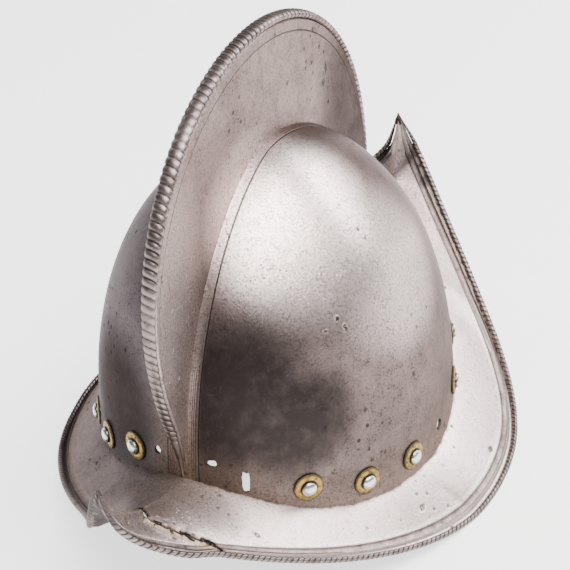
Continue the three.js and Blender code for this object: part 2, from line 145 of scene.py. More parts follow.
def skull_point(angle, z, inset):
    scale = float(skull_scale(z, inset))
    along = math.cos(angle)
    length = ((SKULL_FRONT if along > 0 else SKULL_REAR) - inset) * scale
    x = (SKULL_HALF_WIDTH - inset) * scale * abs(math.sin(angle)) ** (2 / PLAN_POWER)
    y = SKULL_CENTRE_Y - math.copysign(length * abs(along) ** (2 / PLAN_POWER), along)
    return point(x, y, z)


def root_height(angle):
    along = math.cos(angle)
    rise = ROOT_RISE_FRONT if along > 0 else ROOT_RISE_REAR
    return SKULL_BASE_Z + rise * abs(along) ** ROOT_POWER


# ---- brim ----


def edge_point(place):
    side, beak = FRONT_EDGE if place < 0 else REAR_EDGE
    reach = abs(place)
    if reach < BEAK_STARTS:
        here = bezier(side, reach / BEAK_STARTS)
    else:
        here = bezier(beak, (reach - BEAK_STARTS) / (1 - BEAK_STARTS))
    here[2] = ROLL + max(here[2] - REST_TRIM, 0)
    return here


def border_frame(place, root):
    """The edge's point, the directions in along the brim and square to it, the lean and the scale."""
    step = 1e-3
    here = clamp(place, step - 1, 1 - step)
    tangent = unit(edge_point(here + step) - edge_point(here - step))
    edge = edge_point(place)
    rib = root - edge
    level = unit(point(-tangent[1], tangent[0], 0))
    inward = lerp(level, unit(rib), abs(place) ** BORDER_TURN_POWER)
    inward = unit(inward - tangent * inward.dot(tangent))
    upward = np.cross(tangent, inward)
    slope = BORDER_LEAN * rib.dot(upward) / rib.dot(inward)
    return edge, inward, upward, slope, clamp(np.linalg.norm(rib) / BORDER_ROOM, BORDER_LEAST, 1)


# Distances in from the edge and up from its leaning line: under the rope, the groove, the raised line,
# the band and the step up to the main surface.
BORDER = (
    (ROLL, -1.3), (2.9, -1.75), (3.5, -1.9), (4.2, -1.9), (4.7, -1.6), (5.0, -1.05), (5.3, -0.9),
    (5.6, -1.1), (5.9, -1.35), (6.7, -1.4), (7.6, -1.35), (8.2, -1.2), (8.6, -0.9), (8.9, -0.66),
    (9.4, -0.6),
)
UNDER_ROWS = (6, 14)


def border_rows(place, root):
    edge, inward, upward, slope, scale = border_frame(place, root)
    rows = []
    for inwards, up in BORDER:
        here = edge + inward * (inwards * scale) + upward * ((up + inwards * slope) * scale)
        rows.append(point(max(here[0], 0), here[1], here[2]))
    return rows


def brim_rows(start, end):
    rows = []
    for row in range(1, BRIM_ROWS):
        share = row / BRIM_ROWS
        here = lerp(start, end, share)
        here[2] = lerp(start[2], end[2], 1 - (1 - share) ** BRIM_POWER)
        rows.append(here)
    return rows


# ---- comb ----


def comb_radius(angle):
    return sum(size * math.cos(order * angle) for order, size in enumerate(COMB_SERIES))


def on_comb(angle, radius):
    return point(0, COMB_CENTRE_Y - radius * math.cos(angle), COMB_CENTRE_Z + radius * math.sin(angle))


def skull_radius(angle, inset):
    def outside(radius):
        here = on_comb(angle, radius)
        return skull_half_width(here[1], here[2], inset) <= 0

    return bisect(20, 200, outside)


def skull_rows(start, end, half_thick, fillet, inset):
    """A path from the root up the skull, over the fillet and up the side of the comb."""
    shares = np.linspace(0, 1, PATH_SAMPLES)
    y, z = lerp(start[1], end[1], shares), lerp(start[2], end[2], shares)
    bare = skull_half_width(y, z, inset)
    settled = np.minimum(1, shares * 4)
    x = rounded_max(bare, half_thick * settled, fillet * settled + 1e-6)
    path = np.stack([x, y, z], 1)
    length = np.concatenate([[0], np.cumsum(np.linalg.norm(np.diff(path, axis=0), axis=1))])

    def first(test):
        found = np.nonzero(test)[0]
        return int(found[0]) if len(found) else len(shares) - 1

    fillet_start = max(first(bare < half_thick + fillet), 2)
    fillet_end = max(first(bare <= max(half_thick - fillet, 0.2)), fillet_start + 1)
    fillet_end = min(fillet_end, len(shares) - 2)
    fillet_start = min(fillet_start, fillet_end - 1)
    marks = np.concatenate([
        np.linspace(0, length[fillet_start], SKULL_ROWS + 1)[1:],
        np.linspace(length[fillet_start], length[fillet_end], FILLET_ROWS + 1)[1:],
        np.linspace(length[fillet_end], length[-1], COMB_ROWS + 1)[1:],
    ])
    return [point(*(np.interp(mark, length, path[:, axis]) for axis in range(3))) for mark in marks]


# ---- stations ----


def place_at(angle):
    turned = 2 * angle / math.pi - 1
    reach, spread = (FRONT_ROOT_PLACE, FRONT_SPREAD) if turned < 0 else (REAR_ROOT_PLACE, REAR_SPREAD)
    return reach * lerp(-math.cos(angle), turned, spread)


def make_stations():
    """(place on the edge, angle round the skull, root, whether the rib ends on the brim's crease)."""
    front = [index / FRONT_STATIONS for index in range(FRONT_STATIONS)]
    rear = [index / REAR_STATIONS for index in reversed(range(REAR_STATIONS))]
    round_skull = [math.pi * index / SKULL_STATIONS for index in range(SKULL_STATIONS + 1)]
    return (
        [(lerp(-1, -FRONT_ROOT_PLACE, s), 0, bezier(FRONT_KEEL, 1 - s**KEEL_POWER), True) for s in front]
        + [(place_at(a), a, skull_point(a, root_height(a), 0), False) for a in round_skull]
        + [(lerp(1, REAR_ROOT_PLACE, s), math.pi, bezier(REAR_KEEL, 1 - s**KEEL_POWER), True) for s in rear]
    )


STATIONS = make_stations()
ROOT_ROW = len(BORDER) + BRIM_ROWS - 1


def outer_station(place, angle, root):
    border = border_rows(place, root)
    rows = border + brim_rows(border[-1], root) + [root.copy()]
    skull = skull_radius(angle, 0)
    ridge = max(comb_radius(angle), skull)
    grown = math.sqrt(clamp((ridge - skull) / COMB_FULL_HEIGHT, 0, 1))
    foot = on_comb(angle, ridge - RIDGE_DEPTH * grown)
    fillet = lerp(1.6, 7, math.sin(angle) ** 4)
    rows += skull_rows(root, foot, COMB_HALF_THICK * grown, fillet, 0)
    rows.append(on_comb(angle, ridge - 0.5 * RIDGE_DEPTH * grown))
    return rows


def square_to(grid, index, row):
    mirrored = np.array([-1, 1, 1])
    before = grid[index - 1][row] if index > 0 else grid[1][row] * mirrored
    after = grid[index + 1][row] if index < len(grid) - 1 else grid[-2][row] * mirrored
    return unit(np.cross(after - before, grid[index][row + 1] - grid[index][row - 1]))


def under_crease(grid, index):
    along = grid[min(index + 1, len(grid) - 1)][ROOT_ROW] - grid[max(index - 1, 0)][ROOT_ROW]
    square = unit(np.cross(along, grid[index][ROOT_ROW] - grid[index][ROOT_ROW - 1])) * np.array([0, 1, 1])
    depth = min(WALL / max(np.linalg.norm(square), 1e-6), CREASE_DEPTH_MOST)
    return grid[index][ROOT_ROW] - unit(square) * depth


def inner_station(station, outer, index):
    _, angle, _, on_crease = station
    rows = []
    for row in [*UNDER_ROWS, *range(len(BORDER), ROOT_ROW)]:
        here = outer[index][row] - square_to(outer, index, row) * WALL
        here[0] = max(here[0], 0)
        rows.append(here)
    if on_crease:
        root = under_crease(outer, index)
    else:
        root = skull_point(angle, root_height(angle) - INNER_ROOT_DOWN, WALL)
    rows.append(root)
    skull = skull_radius(angle, WALL)
    top = max(comb_radius(angle) - COMB_VOID_DEPTH, skull)
    grown = clamp((top - skull) / COMB_FULL_HEIGHT, 0, 1)
    half_thick = (COMB_HALF_THICK - WALL) * grown
    rows += skull_rows(root, on_comb(angle, top - grown), half_thick, INNER_FILLET, WALL)
    rows.append(on_comb(angle, top))
    return rows


def station_grid(make_rows, root_row):
    """All the stations of one sheet as an array. On a crease, everything above the brim is one point."""
    grid = []
    for index, station in enumerate(STATIONS):
        rows = make_rows(station, index)
        if station[1] in (0, math.pi):
            rows[root_row:] = [rows[root_row] * np.array([0, 1, 1])] * (len(rows) - root_row)
        if index in (0, len(STATIONS) - 1):
            rows = [row * np.array([0, 1, 1]) for row in rows]
        rows[-1] = rows[-1] * np.array([0, 1, 1])
        grid.append(rows)
    return np.array(grid)


# ---- damage: how the sheet is bent out of its true shape, and the hole tools ----

BEAK_BEND = (point(-8, -177, 93), 15, point(0.6, 2.4, 3.4))
STRIP_DROP = point(0.4, -1.1, -1.8)
CRACK_LINE = (
    (-4, -137.5), (1, -141), (6, -143.9), (14.1, -140.1), (21.9, -135.8), (30.3, -130.6), (36, -131),
)
DENTS = (
    (point(14.1, -130.6, 61), 3.2, -0.7),
    (point(3.1, -4, 212), 5, -0.6),
    (point(3.1, 22, 214), 4, -0.5),
    (point(60, -62, 110), 9, -0.5),
    (point(84, -20, 70), 7, -0.35),
)
WAVE, WAVE_LENGTH = 0.22, 34


def crack_curve(count):
    """Points along the crack in plan, on a smooth curve through its corners."""
    corners = np.array(CRACK_LINE, float)
    at = np.linspace(0, len(corners) - 1, count)
    padded = np.vstack([2 * corners[0] - corners[1], corners, 2 * corners[-1] - corners[-2]])
    result = []
    for value in at:
        index = min(int(value), len(corners) - 2)
        t = value - index
        a, b, c, d = padded[index : index + 4]
        low_terms = 2 * b + (c - a) * t + (2 * a - 5 * b + 4 * c - d) * t**2
        result.append(0.5 * (low_terms + (3 * b - a - 3 * c + d) * t**3))
    return np.array(result)


CRACK = crack_curve(CRACK_SAMPLES)


def bend(points):
    """The true shape bent as the real sheet is. Takes and gives an array of points."""
    bent = points.copy()
    centre, reach, shift = BEAK_BEND
    weight = np.exp(-(((points - centre) ** 2).sum(1)) / reach**2) * smooth(-points[:, 0], -1, 5)
    bent += weight[:, None] * shift
    along = smooth(points[:, 0], -5, 6) * (1 - smooth(points[:, 0], 26, 36))
    crack_y = np.interp(points[:, 0], CRACK[:, 0], CRACK[:, 1])
    in_front = 1 - smooth(points[:, 1] - crack_y, -0.9, 0.2)
    near = in_front * along * (points[:, 2] > 35) * (points[:, 1] < -110)
    bent += near[:, None] * STRIP_DROP
    centre_line = point(0, 0, 80)
    for dent, radius, depth in DENTS:
        near = np.exp(-(((points - dent) ** 2).sum(1)) / radius**2)
        bent += near[:, None] * unit((dent - centre_line) * point(1, 1, 0.3)) * depth
    wave = np.array([noise.noise(Vector(p / WAVE_LENGTH + 7)) for p in points])
    bent[:, 0] += wave * WAVE * np.sign(points[:, 0]) * smooth(np.abs(points[:, 0]), 2, 20)
    bent[:, 2] += wave * WAVE * smooth(points[:, 2], 4, 20) * smooth(np.abs(points[:, 0]), 0.5, 20)
    return bent


# ---- meshes ----


def grid_faces(stations, rows, start, flip, closed=False):
    """Four-cornered faces between neighbouring rows and stations of a grid whose points start at start."""
    faces = []
    for a in range(stations - 1):
        for row in range(rows if closed else rows - 1):
            above = (row + 1) % rows
            corners = (a * rows + row, (a + 1) * rows + row, (a + 1) * rows + above, a * rows + above)
            faces.append([start + corner for corner in (reversed(corners) if flip else corners)])
    return faces


def make_object(name, points, faces, marks=(), weld=True):
    """A mesh object from points in millimetres. marks gives the named numbers that each point carries."""
    mesh = bpy.data.meshes.new(name)
    mesh.from_pydata([tuple(p * MM) for p in points], [], faces)
    for mark, values in dict(marks).items():
        attribute = mesh.attributes.new(mark, "FLOAT", "POINT")
        attribute.data.foreach_set("value", np.asarray(values, np.float32))
    made = bpy.data.objects.new(name, mesh)
    bpy.context.scene.collection.objects.link(made)
    if weld:
        apply_modifier(made, "WELD", merge_threshold=2e-6)
    made.data.shade_smooth()
    return made


def apply_modifier(made, kind, **settings):
    modifier = made.modifiers.new("work", kind)
    for key, value in settings.items():
        setattr(modifier, key, value)
    graph = bpy.context.evaluated_depsgraph_get()
    mesh = bpy.data.meshes.new_from_object(made.evaluated_get(graph))
    made.modifiers.clear()
    old = made.data
    made.data = mesh
    bpy.data.meshes.remove(old)


def both_sides(grid, flip):
    """Points and faces of a grid and of its mirror image."""
    stations, rows = grid.shape[:2]
    half = grid.reshape(-1, 3)
    points = np.vstack([half, half * np.array([-1, 1, 1])])
    faces = grid_faces(stations, rows, 0, flip) + grid_faces(stations, rows, len(half), not flip)
    return points, [f for f in faces if np.abs(points[f, 0]).max() > 0]


def crack_distance(points):
    """How far points lie from the crack in plan, in millimetres: negative on the torn strip's side."""
    near = (points[:, 1] < -110) & (points[:, 2] > 30) & (points[:, 0] > -12) & (points[:, 0] < 44)
    distance = np.full(len(points), FAR)
    away = np.linalg.norm(points[near, None, :2] - CRACK[None], axis=2).min(1)
    in_front = points[near, 1] < np.interp(points[near, 0], CRACK[:, 0], CRACK[:, 1])
    distance[near] = np.where(in_front, -away, away)
    return distance


def shell_marks(outer, inner):
    """Named numbers for every point of the shell: distances to its lines, edge and root, in millimetres."""
    stations, rows = outer.shape[:2]
    edge_in = np.full((stations, rows), FAR)
    for row, (inwards, _) in enumerate(BORDER):
        edge_in[:, row] = inwards
    edge_in[:, len(BORDER) : ROOT_ROW + 1] = 12 + 3 * np.arange(ROOT_ROW + 1 - len(BORDER))
    steps = np.linalg.norm(np.diff(outer, axis=1), axis=2)
    along = np.concatenate([np.zeros((stations, 1)), np.cumsum(steps, 1)], 1)
    root_up = along - along[:, ROOT_ROW : ROOT_ROW + 1]
    comb_line = along[:, -2:-1] - along - COMB_LINE_DOWN
    comb_line[:, : ROOT_ROW + SKULL_ROWS] = FAR
    skull_line = outer[:, :, 0] - SKULL_LINE_OUT
    skull_line[:, : ROOT_ROW + 1] = FAR
    outside = {
        "edge_in": edge_in,
        "root_up": root_up,
        "comb_line": comb_line,
        "skull_line": skull_line,
        "inside": np.zeros((stations, rows)),
    }
    marks = {}
    for mark, values in outside.items():
        within = np.full(inner.shape[:2], 1.0 if mark == "inside" else FAR)
        marks[mark] = np.concatenate([values.ravel(), values.ravel(), within.ravel(), within.ravel()])
    return marks


def wall_frame(angle, side, lift):
    """A place on the outside of the skull: its Z points out of the wall and its Y up the wall."""
    z = root_height(angle) + lift
    here = skull_point(angle, z, 0)
    along = skull_point(angle + 1e-3, z, 0) - here
    up = unit(skull_point(angle, z + 1e-3, 0) - here)
    out = unit(np.cross(along, up))
    mirror = np.array([side, 1, 1])
    here, up, out = here * mirror, up * mirror, out * mirror
    across = np.cross(up, out)
    return here, across, up, out


def prism(outline, low, high, place):
    """A closed prism over an outline, placed by a function of (x, y, z)."""
    count = len(outline)
    points = [place(x, y, z) for z in (low, high) for x, y in outline]
    faces = [[i, (i + 1) % count, count + (i + 1) % count, count + i] for i in range(count)]
    return np.array(points), faces + [list(reversed(range(count))), list(range(count, 2 * count))]


def ragged(radius_x, radius_y, count, roughness, seed, power=2.0):
    """A closed outline: an oval, or with a higher power a rounded slot, with a slightly torn edge."""
    result = []
    for index in range(count):
        angle = 2 * math.pi * index / count
        c, s = math.cos(angle), math.sin(angle)
        tear = 1 + roughness * noise.noise(Vector((c * 2 + seed, s * 2, seed)))
        x = math.copysign(abs(c) ** (2 / power), c) * radius_x * tear
        y = math.copysign(abs(s) ** (2 / power), s) * radius_y * tear
        result.append((x, y))
    return result


def wall_prism(angle, side, lift, outline):
    here, across, up, out = wall_frame(angle, side, lift)
    return prism(outline, -9, 4, lambda x, y, z: here + across * x + up * y + out * z)


def crack_prism():
    """The gap of the crack: it closes to a hairline at both ends."""
    tangent = np.gradient(CRACK, axis=0)
    normal = np.stack([-tangent[:, 1], tangent[:, 0]], 1) / np.linalg.norm(tangent, axis=1)[:, None]
    share = np.linspace(0, 1, len(CRACK))
    wobble = np.array([noise.noise(Vector((s * 9, 3, 0))) for s in share])
    half = (0.14 + 0.5 * np.sin(share**0.8 * math.pi) * (1 + 0.6 * wobble))[:, None]
    near, far = CRACK + normal * half, CRACK - normal * half
    outline = [tuple(p) for p in np.vstack([near[::-1], far])]
    return prism(outline, 30, 110, lambda x, y, z: point(x, y, z))


def joined(parts):
    points, faces, start = [], [], 0
    for some_points, some_faces in parts:
        points.append(some_points)
        faces += [[start + corner for corner in face] for face in some_faces]
        start += len(some_points)
    return np.vstack(points), faces


def make_shell():
    outer = station_grid(lambda station, index: outer_station(*station[:3]), ROOT_ROW)
    inner_root = len(UNDER_ROWS) + BRIM_ROWS - 1
    inner = station_grid(lambda station, index: inner_station(station, outer, index), inner_root)
    foot = np.stack([inner[:, 0], outer[:, 0]], 1)
    parts = [both_sides(outer, False), both_sides(inner, True), both_sides(foot, False)]
    points, faces = joined(parts)
    marks = shell_marks(outer, inner)
    counted = len(marks["inside"])
    for mark, values in marks.items():
        # The strip along the brim's edge counts as inside, so it is painted dark with the inside sheet:
        # painted shade.
        on_foot = 1.0 if mark == "inside" else FAR
        marks[mark] = np.concatenate([values, np.full(len(points) - counted, on_foot)])
    marks["crack"] = crack_distance(points)
    bent = bend(points)
    shell = make_object("shell", bent, faces)
    slot = math.radians(RIVET_FIRST + LOST_TO_SLOT * RIVET_STEP)
    rusted = math.radians(RIVET_FIRST + LOST_TO_RUST * RIVET_STEP)
    lace = math.radians(LACE_HOLE_AT)
    tools = joined([
        wall_prism(lace, 1, RIVET_LIFT, ragged(2.4, 2.0, 20, 0.25, 1, 2.6)),
        wall_prism(lace, -1, RIVET_LIFT, ragged(2.1, 2.3, 20, 0.2, 2, 2.4)),
        wall_prism(slot, 1, SLOT_LIFT, ragged(1.8, 5.8, 32, 0.22, 5, 5)),
        wall_prism(rusted, 1, RIVET_LIFT, ragged(3.2, 3.7, 22, 0.35, 9)),
        crack_prism(),
    ])
    cutter = make_object("cutter", *tools, weld=False)
    apply_modifier(shell, "BOOLEAN", operation="DIFFERENCE", object=cutter, solver="MANIFOLD")
    bpy.data.objects.remove(cutter)
    tree = kdtree.KDTree(len(bent))
    for index, place in enumerate(bent):
        tree.insert(place * MM, index)
    tree.balance()
    nearest = np.array([tree.find(vertex.co)[1] for vertex in shell.data.vertices])
    for mark, values in marks.items():
        attribute = shell.data.attributes.new(mark, "FLOAT", "POINT")
        attribute.data.foreach_set("value", values[nearest].astype(np.float32))
    shell.data.shade_smooth()
    shell.data.set_sharp_from_angle(angle=math.radians(42))
    return shell


# ---- roping ----


def groove(phase):
    """0 on the crown of a strand and 1 at the bottom of the cut between two."""
    return 1 - np.abs(np.sin(math.pi * phase)) ** 0.55


def make_edge_rope():
    places = np.linspace(-1, 1, EDGE_SAMPLES)
    line = np.array([edge_point(p) for p in places])
    length = np.concatenate([[0], np.cumsum(np.linalg.norm(np.diff(line, axis=0), axis=1))])
    marks = np.linspace(0, length[-1], ROPE_STEPS)
    station_places = np.array([s[0] for s in STATIONS])
    roots = np.array([s[2] for s in STATIONS])
    rings, cuts = {1: [], -1: []}, {1: [], -1: []}
    for side in (1, -1):
        for mark in marks:
            place = float(np.interp(mark, length, places))
            root = np.array([np.interp(place, station_places, roots[:, axis]) for axis in range(3)])
            edge, inward, upward, slope, scale = border_frame(place, root)
            torn = side > 0 and -0.93 < place < -0.72
            pitch = TORN_PITCH if torn else ROPE_PITCH
            worn = 0.6 + 0.4 * noise.noise(Vector((mark / 23, side * 3, 1)))
            turns = np.arange(ROPE_SIDES) * 2 * math.pi / ROPE_SIDES
            cut = groove(mark / pitch - side * turns / math.pi)
            slim = lerp(0.55, 1, float(smooth(1 + place, 0, 0.07)))
            size = ROLL * scale * slim * (1 - 0.3 * cut * clamp(worn + 0.35, 0.35, 1))
            centre = edge + inward * ROLL * scale
            ring = centre + np.outer(np.cos(turns) * size, -inward) + np.outer(np.sin(turns) * size, upward)
            ring[:, 0] = np.maximum(ring[:, 0], 0)
            rings[side].append(ring)
            cuts[side].append(cut)
    half = np.array(rings[1])
    half[0, :, 0] = 0
    half[-1, :, 0] = 0
    other = np.array(rings[-1]) * np.array([-1, 1, 1])
    other[0], other[-1] = half[0], half[-1]
    faces = grid_faces(ROPE_STEPS, ROPE_SIDES, 0, False, True)
    faces += grid_faces(ROPE_STEPS, ROPE_SIDES, ROPE_STEPS * ROPE_SIDES, True, True)
    points = np.vstack([half.reshape(-1, 3), other.reshape(-1, 3)])
    groove_marks = {"cut": np.concatenate([np.ravel(cuts[1]), np.ravel(cuts[-1])])}
    return make_object("brim_rope", bend(points), faces, groove_marks)


def make_comb_rope():
    angles = np.linspace(0.012, math.pi - 0.012, RIDGE_SAMPLES)
    line = np.array([on_comb(a, comb_radius(a)) for a in angles])
    length = np.concatenate([[0], np.cumsum(np.linalg.norm(np.diff(line, axis=0), axis=1))])
    steps, sides, pitch = 900, 20, 4.35
    rings, cuts = [], []
    for mark in np.linspace(0, length[-1], steps):
        angle = float(np.interp(mark, length, angles))
        skull = skull_radius(angle, 0)
        ridge = max(comb_radius(angle), skull)
        grown = math.sqrt(clamp((ridge - skull) / COMB_FULL_HEIGHT, 0, 1))
        nearest_end = min(mark, length[-1] - mark)
        width = RIDGE_HALF_WIDTH * grown * lerp(0.62, 1, float(smooth(nearest_end, 20, 190)))
        depth = RIDGE_DEPTH / 2 * grown
        turns = np.arange(sides) * 2 * math.pi / sides
        worn = clamp(0.75 + 0.6 * noise.noise(Vector((mark / 31, 5, 2))), 0.25, 1)
        fade = float(smooth(nearest_end, 8, 45)) * worn
        cut = groove(mark / pitch + turns / (2 * math.pi)) * fade
        out = unit(on_comb(angle, 1) - on_comb(angle, 0))
        centre = on_comb(angle, ridge - depth)
        size = 1 - 0.28 * cut
        ring = centre + np.outer(np.sin(turns) * width * size, point(1, 0, 0))
        ring = ring + np.outer(np.cos(turns) * depth * size, out)
        rings.append(ring)
        cuts.append(cut)
    faces = grid_faces(steps, sides, 0, True, True)
    faces += [list(reversed(range(sides))), [(steps - 1) * sides + i for i in range(sides)]]
    return make_object("comb_rope", np.vstack(rings), faces, {"cut": np.ravel(cuts)})


# ---- rivets ----


def turned_piece(name, profile, sides, frame_at, wobble, seed):
    """A turned piece on the skull wall from a profile of (radius, height), which starts and ends on the
    axis or closes on itself."""
    here, across, up, out = frame_at
    rows = len(profile)
    points, radii = [], []
    for index in range(sides + 1):
        angle = 2 * math.pi * (index % sides) / sides
        for radius, height in profile:
            uneven = 1 + wobble * noise.noise(Vector((math.cos(angle) + seed, math.sin(angle), seed * 3.1)))
            c, s = math.cos(angle) * radius * uneven, math.sin(angle) * radius * uneven
            points.append(here + across * c + up * s + out * height)
            radii.append(radius)
    faces = grid_faces(sides + 1, rows, 0, False)
    made = make_object(name, np.array(points), faces, {"radius": radii})
    made.data.set_sharp_from_angle(angle=math.radians(50))
    return made


WASHER_PROFILE = (
    (2.1, 0.35), (7.7, 0.35), (7.72, 0.6), (7.6, 0.9), (7.2, 1.1), (6.6, 1.22), (6.0, 1.42), (5.2, 1.5),
    (4.6, 1.42), (4.1, 1.2), (3.2, 1.25), (2.1, 1.25), (2.1, 0.35),
)
HEAD_PROFILE = (
    (0, -3.2), (2.2, -3.15), (3.0, -2.8), (3.1, -2.3), (1.6, -2.2), (1.6, 1.2), (3.85, 1.3),
    (4.0, 1.75), (3.85, 2.4), (3.45, 3.0), (2.8, 3.5), (1.9, 3.85), (1.0, 4.02), (0, 4.08),
)


def make_rivets():
    made = []
    for side, side_name in ((1, "left"), (-1, "right")):
        for index in range(RIVETS_A_SIDE):
            if (side, index) in LOST:
                continue
            at = wall_frame(math.radians(RIVET_FIRST + RIVET_STEP * index), side, RIVET_LIFT)
            key = f"{side_name}_{index + 1}"
            seed = index + 1 + 10 * (side < 0)
            washer = turned_piece(f"rosette_{key}", WASHER_PROFILE, 56, at, wobble=0.05, seed=seed)
            head = turned_piece(f"domed_rivet_{key}", HEAD_PROFILE, 40, at, wobble=0.07, seed=seed + 0.5)
            made.append((key, washer, head))
    return made


# ---- materials ----


class Socket:
    """A socket of a shader, or a number: Python's operators on it add the Math nodes."""

    def __init__(self, shader, value):
        self.shader, self.value = shader, value

    def math(self, operation, *others, clamped=False):
        inputs = {index: value for index, value in enumerate((self, *others))}
        return self.shader.node("ShaderNodeMath", {"operation": operation, "use_clamp": clamped}, inputs)

    def __add__(self, other):
        return self.math("ADD", other)

    def __sub__(self, other):
        return self.math("SUBTRACT", other)

    def __rsub__(self, other):
        return Socket(self.shader, other).math("SUBTRACT", self)

    def __mul__(self, other):
        return self.math("MULTIPLY", other)

    def __truediv__(self, other):
        return self.math("DIVIDE", other)

    __radd__, __rmul__ = __add__, __mul__

    def at_least(self, other):
        return self.math("MAXIMUM", other)

    def size(self):
        return self.math("ABSOLUTE")

    def held(self):
        return self.math("ADD", 0.0, clamped=True)

    def step(self, low, high):
        """A soft step from 0 at low to 1 at high. high may be the smaller."""
        settings = {"interpolation_type": "SMOOTHSTEP"}
        inputs = {"Value": self, "From Min": low, "From Max": high}
        return self.shader.node("ShaderNodeMapRange", settings, inputs)


class Shader:
    """A node material being made."""

    def __init__(self, name):
        self.material = bpy.data.materials.new(name)
        self.material.use_nodes = True
        self.tree = self.material.node_tree
        self.surface = self.tree.nodes["Principled BSDF"]

    def node(self, kind, settings=(), inputs=(), output=0):
        made = self.tree.nodes.new(kind)
        for key, value in dict(settings).items():
            setattr(made, key, value)
        for key, value in dict(inputs).items():
            self.join(value, made.inputs[key])
        return Socket(self, made.outputs[output])

    def join(self, value, socket):
        if isinstance(value, Socket):
            value = value.value
        if isinstance(value, bpy.types.NodeSocket):
            self.tree.links.new(value, socket)
        else:
            socket.default_value = value

    def mark(self, name):
        return self.node("ShaderNodeAttribute", {"attribute_name": name}, output="Fac")

    def place(self):
        """The point's own place on the helmet, in metres, as a vector and as three numbers."""
        vector = self.node("ShaderNodeTexCoord", output="Object")
        parts = self.node("ShaderNodeSeparateXYZ", inputs={0: vector}).value.node
        return vector, *(Socket(self, parts.outputs[axis]) for axis in "XYZ")

    def stretched(self, vector, scale):
        return self.node("ShaderNodeVectorMath", {"operation": "MULTIPLY"}, {0: vector, 1: scale})

    def noise(self, vector, scale, detail=3.0, roughness=0.55, output="Fac"):
        inputs = {"Vector": vector, "Scale": scale, "Detail": detail, "Roughness": roughness}
        return self.node("ShaderNodeTexNoise", inputs=inputs, output=output)

    def cells(self, vector, scale, randomness=1.0):
        inputs = {"Vector": vector, "Scale": scale, "Randomness": randomness}
        return self.node("ShaderNodeTexVoronoi", inputs=inputs, output="Distance")

    def blend(self, factor, first, second, kind="MIX"):
        """Two colours blended by a factor. A Mix node's colour sockets are its sixth and seventh."""
        settings = {"data_type": "RGBA", "blend_type": kind, "clamp_factor": True}
        return self.node("ShaderNodeMix", settings, {0: factor, 6: first, 7: second}, output=2)

    def bump(self, height, strength, distance):
        inputs = {"Height": height, "Strength": strength, "Distance": distance}
        return self.node("ShaderNodeBump", inputs=inputs)

    def finish(self, **sockets):
        for key, value in sockets.items():
            self.join(value, self.surface.inputs[key.replace("_", " ")])
        return self.material


# Painted highlight: a warm near-white that stands in for the lamps' reflection on the skull, comb and brim.
PAINTED_HIGHLIGHT_STEEL = (0.98, 0.83, 0.79, 1)
BRIGHT_STEEL = (0.245, 0.188, 0.172, 1)
WORN_STEEL = (0.15, 0.113, 0.102, 1)
DULL_STEEL = (0.075, 0.056, 0.05, 1)
# Painted shade: a dim blue-grey for the side turned away from the key light.
PAINTED_SHADE_BLUE_STEEL = (0.085, 0.082, 0.094, 1)
DARK_STEEL = (0.022, 0.018, 0.018, 1)
BROWN_BLOOM = (0.235, 0.165, 0.12, 1)
BLACK_SCALE = (0.035, 0.028, 0.024, 1)
YELLOW_RUST = (0.46, 0.36, 0.20, 1)
TAN_STEEL = (0.36, 0.27, 0.19, 1)
ROPED_STEEL = (0.27, 0.222, 0.21, 1)
RIVET_STEEL = (0.74, 0.72, 0.71, 1)
WORN_BRASS = (0.38, 0.25, 0.07, 1)
DULL_BRASS = (0.14, 0.09, 0.03, 1)
BRASS_DIRT = (0.045, 0.034, 0.02, 1)
STEEL_EDGE_TINT = (0.55, 0.52, 0.52, 1)


# Soft patches on the skull, comb and brim, in millimetres: the middle, the reach along each axis and
# the strength. The bright patches are painted highlight and the dark patches painted shade; the scars are
# marks in the steel.
# Painted highlight on the upper skull and its right side, where they reflect the lamps.
PAINTED_HIGHLIGHT_PATCHES = (
    ((38, -26, 168), (48, 48, 42), 1.0),
    ((70, 4, 136), (34, 44, 40), 0.75),
)
# Painted shade on the skull's lower front and sides, where it faces away from the lamps.
PAINTED_SHADE_PATCHES = (
    ((24, -86, 104), (40, 40, 44), 1.0),
    ((50, -76, 86), (34, 40, 32), 1.0),
    ((86, -24, 104), (22, 46, 34), 0.25),
    ((68, -60, 66), (50, 60, 26), 0.4),
    ((84, -30, 56), (50, 90, 20), 0.42),
    ((86, -14, 92), (20, 40, 30), 0.25),
    ((-46, -78, 80), (36, 46, 34), 1.0),
    ((14, -98, 72), (22, 26, 34), 0.5),
    ((88, 34, 96), (22, 60, 60), 0.35),
    ((52, 34, 160), (26, 34, 30), 0.3),
)
# Painted shade on the rear of the comb.
COMB_PAINTED_SHADE_PATCHES = (((0, 108, 158), (12, 44, 62), 0.85),)
# Painted highlight on the front of the comb.
COMB_PAINTED_HIGHLIGHT_PATCHES = (((0, -96, 150), (10, 34, 76), 0.3),)
# Painted shade in the hollow under the front point of the brim, used on its roping too.
FRONT_TIP_PAINTED_SHADE = (((-5, -178, 97), (15, 12, 18), 1.0),)
